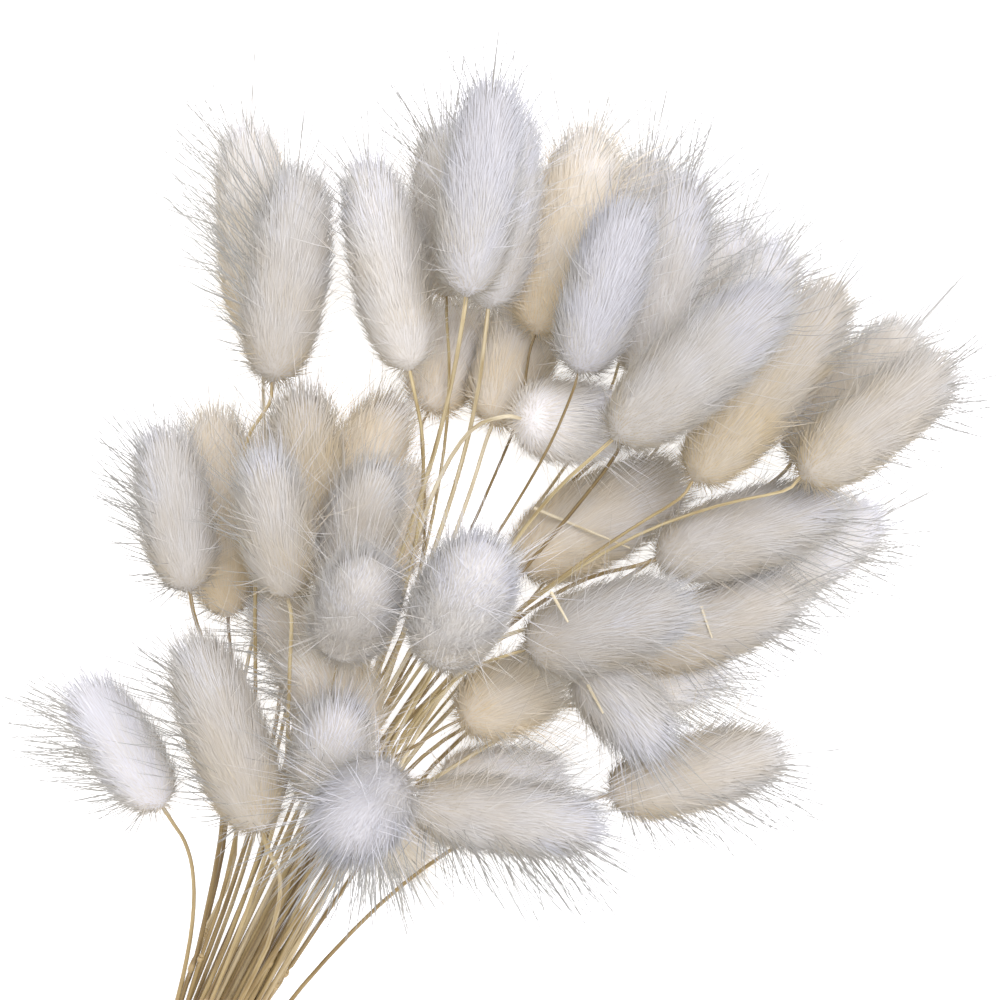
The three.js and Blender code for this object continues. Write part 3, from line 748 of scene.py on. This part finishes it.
for number, (start_view, end_view, girth, yellowness, painted_dim, shag) in enumerate(HEADS, 1):
    start = placed(*start_view) * MM
    end = placed(*end_view) * MM
    axis = (end - start).normalized()
    head_ends.append((start, axis))
    length = (end - start).length
    middle_height = (start_view[2] + end_view[2]) / 2
    radius = girth / 2 * (EYE_HEIGHT - middle_height) / (EYE_HEIGHT - PLANE_HEIGHT) * MM
    core = core_of(start, axis, length, radius, yellowness, number)
    area = sum(polygon.area for polygon in core.polygons)
    awn_number = AWNS_PER_HEAD * (AWN_NUMBER[0] + AWN_NUMBER[1] * shag)
    settings = {
        "Head Start": start,
        "Head Axis": axis,
        "Head Length": length,
        "Yellowness": yellowness,
        "Painted Dimming": painted_dim,
        "Guard Density": GUARDS_PER_HEAD / area,
        "Awn Density": awn_number / area,
        "Awn Length": AWN["length"] * (AWN_REACH[0] + AWN_REACH[1] * shag) * MM,
        "Hair Material": hair_material,
    }
    head = grown_object(f"soft_head_{number:02d}", core, fur, settings)
    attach(head, "root")
    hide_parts(f"head_{number:02d}")


# The stems. Each head sits on one thin straw, a dry hollow grass stalk that tapers towards its head
# and has a swollen knuckle or two. They were cut off at the foot, and the twine presses them
# together. Lengths here are in millimetres.
STEMS_NODES = 12
STEM_FOOT = 1.36
STEM_NECK = 0.7
STEM_SIDES = 7
STEM_STOUTNESS = (0.8, 1.25)
NECK_IN_HEAD = 3.0
RING_SIZE = 1.3
SAME_CORNER = 0.02
BELOW_TIE = 50
SWAY = 1.5

# At the tie the straws of a node stand in a small ring, and the twelve rings fill the twine. From
# there they spread a little towards their uneven cut ends.
TIE_HEIGHT = 9.05
TIE_SPAN = 12
TIE_FILL = 1.1
PRESSED_SPACING = 1.05
CUT_SPREAD = 1.4
CUT_RING = 2
CUT_UNEVENNESS = 9
CUT_LOWEST = 1.0

# Each straw has a low and a high knuckle, at a random share of its length from a first place on.
LOW_KNUCKLE = (0.12, 0.12)
HIGH_KNUCKLE = (0.42, 0.3)
KNUCKLE_SWELL = 1.3
KNUCKLE_LENGTH = 1.3
KNUCKLE_OUTLINE = ((-1.6, 0), (-0.5, 1), (0.5, 1), (1.6, 0))


def ring_routes(node, heads):
    """The middle lines of the straws in a CAD node, each from its head down to where it meets the
    others, and the node's corners at the tie and far below it. Its straws are square in section."""
    mesh = bmesh.new()
    mesh.from_mesh(node.data)
    mesh.transform(node.matrix_world)
    bmesh.ops.remove_doubles(mesh, verts=mesh.verts, dist=SAME_CORNER * MM)
    mesh.verts.index_update()
    routes = []
    for head_start, head_axis in heads:
        ring = {v for v in mesh.verts if (v.co - head_start).length < RING_SIZE * MM}
        if len(ring) != 4:
            continue
        seen = set(ring)
        route = [head_start + head_axis * (NECK_IN_HEAD * MM)]
        while len(ring) == 4:
            in_order = sorted(ring, key=lambda v: v.index)
            middle = sum((v.co for v in in_order), Vector()) / 4
            if max((v.co - middle).length for v in ring) > RING_SIZE * MM:
                break
            route.append(middle)
            ring = {edge.other_vert(v) for v in ring for edge in v.link_edges} - seen
            seen |= ring
        routes.append(route)
    tied = [v.co.copy() for v in mesh.verts if abs(v.co.y - tie_y * MM) < TIE_SPAN / 2 * MM]
    low = [v.co.copy() for v in mesh.verts if v.co.y < (tie_y - BELOW_TIE) * MM]
    mesh.free()
    return routes, tied, low


def straw_route(route, tied_place, cut_place, random_share):
    """The points of a whole straw, from its cut end, through the tie, to its head."""
    low_side = Vector((tied_place.x, (tie_y - TIE_SPAN / 2) * MM, tied_place.z))
    high_side = Vector((tied_place.x, (tie_y + TIE_SPAN / 2) * MM, tied_place.z))
    sway = Vector((random_share() - 0.5, 0, 0.5 * random_share())) * SWAY * MM
    middle = cut_place.lerp(low_side, 0.5) + sway
    free = [point for point in route if point.y > (tie_y + TIE_SPAN) * MM]
    return [cut_place, middle, low_side, high_side, *reversed(free)]


def straw_mesh(name, straws):
    """Each straw as a line of points that know how far along it they are, its tone, how thick it
    is there and how much of a knuckle that is. Each is given as points, tone, stoutness, joints."""
    verts, edges, runs, girths, tones, knuckles = [], [], [], [], [], []
    for points, tone, stoutness, joints in straws:
        steps = [0.0]
        for one, other in zip(points, points[1:]):
            steps.append(steps[-1] + (other - one).length)
        whole = steps[-1]
        marks = {step: 0.0 for step in steps}
        for joint in joints:
            at = joint * whole
            clear = 2 * KNUCKLE_LENGTH * MM
            marks = {step: mark for step, mark in marks.items() if abs(step - at) > clear}
            for offset, mark in KNUCKLE_OUTLINE:
                marks[at + offset * KNUCKLE_LENGTH * MM] = mark
        first = len(verts)
        for step in sorted(marks):
            after = max(1, next((i for i, s in enumerate(steps) if s >= step), len(steps) - 1))
            part = (step - steps[after - 1]) / (steps[after] - steps[after - 1])
            verts.append(points[after - 1].lerp(points[after], part))
            share = step / whole
            girth = (STEM_FOOT + (STEM_NECK - STEM_FOOT) * share) * stoutness
            girths.append(girth / 2 * MM * (1 + (KNUCKLE_SWELL - 1) * marks[step]))
            runs.append(step / MM)
            tones.append(tone)
            knuckles.append(marks[step])
        edges += [(i, i + 1) for i in range(first, len(verts) - 1)]
    mesh = bpy.data.meshes.new(name)
    mesh.from_pydata(verts, edges, [])
    for label, values in (("run", runs), ("girth", girths), ("tone", tones), ("knuckle", knuckles)):
        mesh.attributes.new(label, "FLOAT", "POINT").data.foreach_set("value", values)
    return mesh


def straw_tree():
    """Rounds lines out into closed straws that follow them smoothly."""
    tree, given = new_tree(
        "straws_along_lines", [("Sides", "Int", STEM_SIDES), ("Straw Material", "Material", None)]
    )
    line = add_node(tree, "GeometryNodeMeshToCurve", {0: given["Geometry"]})
    smooth = add_node(
        tree, "GeometryNodeCurveSplineType", {"Curve": line}, spline_type="CATMULL_ROM"
    )
    fine = add_node(tree, "GeometryNodeSetSplineResolution", {"Geometry": smooth, "Resolution": 3})
    section = add_node(
        tree, "GeometryNodeCurvePrimitiveCircle", {"Resolution": given["Sides"], "Radius": 1.0}
    )
    factor = add_node(tree, "GeometryNodeSplineParameter")
    marked = add_node(
        tree,
        "GeometryNodeStoreNamedAttribute",
        {"Geometry": section, "Name": "around", 3: factor},
        data_type="FLOAT",
        domain="POINT",
    )
    girth = add_node(tree, "GeometryNodeInputNamedAttribute", {"Name": "girth"}, data_type="FLOAT")
    tubes = add_node(
        tree,
        "GeometryNodeCurveToMesh",
        {"Curve": fine, "Profile Curve": marked, "Scale": girth, "Fill Caps": True},
    )
    real = add_node(tree, "GeometryNodeRealizeInstances", {0: tubes})
    painted = add_node(
        tree,
        "GeometryNodeSetMaterial",
        {"Geometry": kept_above(tree, real), "Material": given["Straw Material"]},
    )
    add_node(tree, "NodeGroupOutput", {0: painted})
    return tree


def dry_straw():
    """Dry straw: a hard thin skin with a slight gloss and fine lengthwise grooves. Each stalk has
    its own tone from pale to brown, its knuckles are a warm brown, and it is darker towards its
    foot."""
    looks = {"Roughness": 0.5, "Specular IOR Level": 0.4}
    material, tree, shader = new_material("dry_grass_straw", looks)
    tone = add_node(tree, "ShaderNodeAttribute", attribute_name="tone")
    run = add_node(tree, "ShaderNodeAttribute", attribute_name="run")
    around = add_node(tree, "ShaderNodeAttribute", attribute_name="around")
    knuckle = add_node(tree, "ShaderNodeAttribute", attribute_name="knuckle")
    tones = add_node(tree, "ShaderNodeValToRGB", {"Fac": tone.outputs["Fac"]})
    set_stops(tones, [(0, "#dccfae"), (0.35, "#b9a677"), (0.7, "#a08b5c"), (1, "#755f39")])
    # Six grooves round a stalk, each about eight millimetres long, and different on every stalk.
    turned = add_node(
        tree, "ShaderNodeMath", {0: around.outputs["Fac"], 1: 6.0}, operation="MULTIPLY"
    )
    apart = add_node(
        tree, "ShaderNodeMath", {0: tone.outputs["Fac"], 1: 37.0}, operation="MULTIPLY"
    )
    stretched = add_node(
        tree, "ShaderNodeMath", {0: run.outputs["Fac"], 1: 0.12}, operation="MULTIPLY"
    )
    along = add_node(tree, "ShaderNodeCombineXYZ", {0: turned, 1: stretched, 2: apart})
    grooves = add_node(tree, "ShaderNodeTexNoise", {"Vector": along, "Scale": 1.0, "Detail": 3.0})
    grooved = add_node(tree, "ShaderNodeValToRGB", {"Fac": grooves})
    set_stops(grooved, [(0.3, "#b8a888"), (0.6, "#ffffff")])
    mixed = add_node(
        tree,
        "ShaderNodeMix",
        {0: 1.0, 6: tones.outputs["Color"], 7: grooved.outputs["Color"]},
        data_type="RGBA",
        blend_type="MULTIPLY",
    )
    # The stalks run along Y. They are darker up to 30 mm under the middle of the part, and that
    # fades to nothing 50 mm above it.
    place = add_node(tree, "ShaderNodeTexCoord")
    apart_way = add_node(tree, "ShaderNodeSeparateXYZ", {0: place.outputs["Object"]})
    foot = add_node(
        tree,
        "ShaderNodeMapRange",
        {"Value": apart_way.outputs[1], "From Min": -0.03, "From Max": 0.05},
    )
    foot_darkening = add_node(
        tree,
        "ShaderNodeMix",
        {0: foot, 6: linear("#cabda4"), 7: (1, 1, 1, 1)},
        data_type="RGBA",
    )
    darkened_to_foot = add_node(
        tree,
        "ShaderNodeMix",
        {0: 1.0, 6: mixed.outputs[2], 7: foot_darkening.outputs[2]},
        data_type="RGBA",
        blend_type="MULTIPLY",
    )
    warm = add_node(
        tree,
        "ShaderNodeMix",
        {0: knuckle.outputs["Fac"], 6: darkened_to_foot.outputs[2], 7: linear("#a08658")},
        data_type="RGBA",
    )
    tree.links.new(warm.outputs[2], shader.inputs["Base Color"])
    return material


straw = dry_straw()
straws_along_lines = straw_tree()
tie_middle = Vector((tie_x, tie_y, TIE_HEIGHT)) * MM
chance = random.Random(5)

for number in range(1, STEMS_NODES + 1):
    node_name = f"stems_{number:02d}"
    routes, tied, low = ring_routes(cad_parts[node_name], head_ends)
    centre = sum(tied, Vector()) / len(tied)
    routes.sort(key=lambda route: math.atan2(route[-1].z - centre.z, route[-1].x - centre.x))
    pressed = PRESSED_SPACING / (2 * math.sin(math.pi / len(routes))) * MM
    spread = (centre - tie_middle) * (CUT_SPREAD - 1)
    straws = []
    for place, route in enumerate(routes):
        angle = math.tau * (place + 0.5) / len(routes) - math.pi
        out = Vector((math.cos(angle), 0, math.sin(angle)))
        slot = tie_middle.lerp(centre, TIE_FILL) + out * pressed
        cut = centre + spread + out * pressed * CUT_RING
        cut.y = min(point.y for point in low) + CUT_UNEVENNESS * MM * chance.random()
        cut.z = max(CUT_LOWEST * MM, cut.z)
        joints = [first + more * chance.random() for first, more in (LOW_KNUCKLE, HIGH_KNUCKLE)]
        whole_route = straw_route(route, slot, cut, chance.random)
        tone = chance.random()
        straws.append((whole_route, tone, chance.uniform(*STEM_STOUTNESS), joints))
    lines = straw_mesh(node_name, straws)
    stalks = grown_object(
        f"straw_{node_name}", lines, straws_along_lines, {"Straw Material": straw}
    )
    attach(stalks, "root")
    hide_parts(node_name)


# The twine. A jute string, spun from three plies, is wound round the stems by hand in four turns.
# Its ends meet on top in a knot, and their cut tails stand out of it to both sides. Lengths here
# are in millimetres and angles in radians.
TWINE_RADIUS = 8.05
TWINE_TURNS = 4
TWINE_PITCH = 1.95
TURN_POINTS = 28
PLY_RADIUS = 0.56
PLY_OFFSET = 0.44
PLY_TWIST = 4.5
STRING_STEP = 0.9
KNOT_LIFT = 10.0
KNOT_SIZE = (0.75, 0.62, 0.5)
KNOT_POINTS = 26
KNOT_HALF_WIDTH = 1.6
UNDER_KNOT = 0.6
TAIL_LENGTH = 14
TAIL_SPREAD = 0.9
TAIL_LIFT = 0.16
TAIL_DROOP = 1.6
TAIL_BEND = 1.5
TAIL_WAVE = 2.6
TAIL_POINTS = 6
FIBRES_PER_SQUARE_METRE = 6e5
FIBRE_LENGTH = 1.8
FIBRE_SIZES = (0.4, 1.2)
FIBRE_THICKNESS = 0.09
FIBRE_STRAY = 1.4


def tail_point(side, share):
    """Where the cut tail on one side of the knot is, at that share of its length."""
    reach = TAIL_LENGTH * share
    bend = side * TAIL_BEND * math.sin(share * TAIL_WAVE)
    droop = TAIL_DROOP * share * share
    across = side * math.sin(TAIL_SPREAD) * reach
    along = math.cos(TAIL_SPREAD) * reach + bend
    return Vector((across, along, KNOT_LIFT + TAIL_LIFT * reach - droop))


def twine_lines():
    """Middle lines from the middle of the tie: of the string, which runs from its first tail round
    the stems to its second tail, and of the knot on top, which is a closed trefoil."""
    steps = TWINE_TURNS * TURN_POINTS
    turns = []
    for step in range(steps + 1):
        angle = step / steps * TWINE_TURNS * math.tau
        along = TWINE_TURNS * TWINE_PITCH * (step / steps - 0.5)
        across, up = math.sin(angle) * TWINE_RADIUS, math.cos(angle) * TWINE_RADIUS
        turns.append(Vector((across, along, up)))
    shares = [point / TAIL_POINTS for point in range(1, TAIL_POINTS + 1)]
    first_tail = [tail_point(-1, share) for share in reversed(shares)]
    second_tail = [tail_point(1, share) for share in shares]
    string = [
        *first_tail,
        Vector((0, -KNOT_HALF_WIDTH, KNOT_LIFT - UNDER_KNOT)),
        *turns[2:-2],
        Vector((0, KNOT_HALF_WIDTH, KNOT_LIFT - UNDER_KNOT)),
        *second_tail,
    ]
    knot = []
    for step in range(KNOT_POINTS):
        t = math.tau * step / KNOT_POINTS
        loop = (
            math.sin(t) + 2 * math.sin(2 * t),
            math.cos(t) - 2 * math.cos(2 * t),
            -math.sin(3 * t),
        )
        sized = Vector([part * size for part, size in zip(loop, KNOT_SIZE)])
        knot.append(sized + Vector((0, 0, KNOT_LIFT)))
    return string, knot


def jute():
    """Jute: coarse dull plant fibre, brown, with paler and darker strands along each ply."""
    material, tree, shader = new_material("spun_jute", {"Specular IOR Level": 0.15})
    run = add_node(tree, "ShaderNodeAttribute", attribute_name="run")
    around = add_node(tree, "ShaderNodeAttribute", attribute_name="around")
    # Nine strands show round each ply, and each is drawn out along it.
    turned = add_node(
        tree, "ShaderNodeMath", {0: around.outputs["Fac"], 1: 9.0}, operation="MULTIPLY"
    )
    stretched = add_node(
        tree, "ShaderNodeMath", {0: run.outputs["Fac"], 1: 0.5}, operation="MULTIPLY"
    )
    along = add_node(tree, "ShaderNodeCombineXYZ", {0: turned, 1: stretched})
    strands = add_node(tree, "ShaderNodeTexNoise", {"Vector": along, "Scale": 1.0, "Detail": 4.0})
    tones = add_node(tree, "ShaderNodeValToRGB", {"Fac": strands})
    set_stops(tones, [(0.3, "#7d6238"), (0.5, "#a98a56"), (0.72, "#c9ac78")])
    rough = add_node(tree, "ShaderNodeMapRange", {"Value": strands, "To Min": 0.95, "To Max": 0.75})
    bump = add_node(
        tree, "ShaderNodeBump", {"Height": strands, "Strength": 0.5, "Distance": 0.0002}
    )
    tree.links.new(tones.outputs["Color"], shader.inputs["Base Color"])
    tree.links.new(rough.outputs[0], shader.inputs["Roughness"])
    tree.links.new(bump.outputs[0], shader.inputs["Normal"])
    return material


def twine_tree():
    """Twists three plies round a line and lets loose fibres stand out of them."""
    tree, given = new_tree(
        "three_ply_string",
        [
            ("Step", "Float", STRING_STEP * MM),
            ("Ply Offset", "Float", PLY_OFFSET * MM),
            ("Ply Radius", "Float", PLY_RADIUS * MM),
            ("Twist", "Float", math.tau / (PLY_TWIST * MM)),
            ("Fibre Density", "Float", FIBRES_PER_SQUARE_METRE),
            ("Fibre Length", "Float", FIBRE_LENGTH * MM),
            ("String Material", "Material", None),
        ],
    )
    line = add_node(tree, "GeometryNodeMeshToCurve", {0: given["Geometry"]})
    smooth = add_node(
        tree, "GeometryNodeCurveSplineType", {"Curve": line}, spline_type="CATMULL_ROM"
    )
    even = add_node(
        tree, "GeometryNodeResampleCurve", {"Curve": smooth, "Length": given["Step"]}, mode="LENGTH"
    )
    factor = add_node(tree, "GeometryNodeSplineParameter")
    turn = add_node(
        tree,
        "ShaderNodeMath",
        {0: factor.outputs["Length"], 1: given["Twist"]},
        operation="MULTIPLY",
    )
    known = add_node(
        tree,
        "GeometryNodeStoreNamedAttribute",
        {"Geometry": even, "Name": "run", 3: turn},
        data_type="FLOAT",
        domain="POINT",
    )
    normal = add_node(tree, "GeometryNodeInputNormal")
    tangent = add_node(tree, "GeometryNodeInputTangent")
    binormal = add_node(
        tree, "ShaderNodeVectorMath", {0: tangent, 1: normal}, operation="CROSS_PRODUCT"
    )
    around = add_node(
        tree, "GeometryNodeCurvePrimitiveCircle", {"Resolution": 7, "Radius": given["Ply Radius"]}
    )
    marked = add_node(
        tree,
        "GeometryNodeStoreNamedAttribute",
        {"Geometry": around, "Name": "around", 3: factor.outputs["Factor"]},
        data_type="FLOAT",
        domain="POINT",
    )
    plies = add_node(tree, "GeometryNodeJoinGeometry")
    for ply in range(3):
        angle = add_node(tree, "ShaderNodeMath", {0: turn, 1: ply * math.tau / 3}, operation="ADD")
        parts = []
        for way, share in ((normal, "COSINE"), (binormal, "SINE")):
            much = add_node(tree, "ShaderNodeMath", {0: angle}, operation=share)
            parts.append(
                add_node(tree, "ShaderNodeVectorMath", {0: way, "Scale": much}, operation="SCALE")
            )
        both = add_node(tree, "ShaderNodeVectorMath", {0: parts[0], 1: parts[1]})
        aside = add_node(
            tree, "ShaderNodeVectorMath", {0: both, "Scale": given["Ply Offset"]}, operation="SCALE"
        )
        moved = add_node(tree, "GeometryNodeSetPosition", {"Geometry": known, "Offset": aside})
        tube = {"Curve": moved, "Profile Curve": marked, "Fill Caps": True}
        round_ply = add_node(tree, "GeometryNodeCurveToMesh", tube)
        tree.links.new(round_ply.outputs[0], plies.inputs[0])
    points = add_node(
        tree,
        "GeometryNodeDistributePointsOnFaces",
        {"Mesh": plies, "Density": given["Fibre Density"], "Seed": 5},
        distribute_method="RANDOM",
    )
    loose = add_node(
        tree,
        "FunctionNodeRandomValue",
        {0: [-FIBRE_STRAY] * 3, 1: [FIBRE_STRAY] * 3, "Seed": 6},
        data_type="FLOAT_VECTOR",
    )
    way = add_node(tree, "ShaderNodeVectorMath", {0: points.outputs["Normal"], 1: loose})
    turned = add_node(tree, "FunctionNodeAlignRotationToVector", {"Vector": way}, axis="Z")
    size = add_node(
        tree,
        "FunctionNodeRandomValue",
        {2: FIBRE_SIZES[0], 3: FIBRE_SIZES[1], "Seed": 8},
        data_type="FLOAT",
    )
    long = add_node(
        tree, "ShaderNodeMath", {0: given["Fibre Length"], 1: size.outputs[1]}, operation="MULTIPLY"
    )
    thin = FIBRE_THICKNESS * MM
    scale = add_node(tree, "ShaderNodeCombineXYZ", {0: thin, 1: thin, 2: long})
    fibre = add_node(tree, "GeometryNodeObjectInfo", {"Object": guard_hair, "As Instance": True})
    fibres = add_node(
        tree,
        "GeometryNodeInstanceOnPoints",
        {
            "Points": points.outputs["Points"],
            "Instance": fibre.outputs["Geometry"],
            "Rotation": turned,
            "Scale": scale,
        },
    )
    whole = add_node(tree, "GeometryNodeJoinGeometry")
    tree.links.new(fibres.outputs[0], whole.inputs[0])
    tree.links.new(plies.outputs[0], whole.inputs[0])
    real = add_node(tree, "GeometryNodeRealizeInstances", {0: whole})
    painted = add_node(
        tree,
        "GeometryNodeSetMaterial",
        {"Geometry": kept_above(tree, real), "Material": given["String Material"]},
    )
    add_node(tree, "NodeGroupOutput", {0: painted})
    return tree


def line_mesh(name, points, closed):
    """A line of points, open or closed, as a mesh of bare edges."""
    edges = [(i, i + 1) for i in range(len(points) - 1)]
    if closed:
        edges.append((len(points) - 1, 0))
    mesh = bpy.data.meshes.new(name)
    mesh.from_pydata(points, edges, [])
    return mesh


three_ply = twine_tree()
spun_jute = jute()
string_line, knot_line = twine_lines()
for name, line, closed in (("wound_twine", string_line, False), ("twine_knot", knot_line, True)):
    mesh = line_mesh(name, [tie_middle + point * MM for point in line], closed)
    string = grown_object(name, mesh, three_ply, {"String Material": spun_jute})
    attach(string, "root")
    if name == "wound_twine":
        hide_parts("twine")


# The loose straws. When the bunch was tied, a few broken ends of straw and slips of leaf sheath
# stayed caught in the hair of the heads. Each lies on the head under it.

# How stout each is against a stem, and how many millimetres its middle sags.
LOOSE_STOUTNESS = 0.56
LOOSE_SAG = 0.4

# Each row: its two ends in the view with their heights, and how brown it is.
LOOSE_STRAWS = [
    ((6.8, -1.6, 27), (26, -9.6, 29), 0.0),
    ((10.2, -18.4, 71), (13.6, -24.4, 73), 0.0),
    ((40.2, -21.2, 37), (42.4, -27.6, 38.5), 0.05),
    ((17.6, -37, 56.5), (20.6, -42.6, 60.5), 0.0),
]

loose = []
for start_view, end_view, brown in LOOSE_STRAWS:
    start, end = placed(*start_view) * MM, placed(*end_view) * MM
    middle = start.lerp(end, 0.5) - Vector((0, 0, LOOSE_SAG * MM))
    loose.append(([start, middle, end], brown, LOOSE_STOUTNESS, []))
lines = straw_mesh("caught", loose)
caught = grown_object("caught_straws", lines, straws_along_lines, {"Straw Material": straw})
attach(caught, "root")
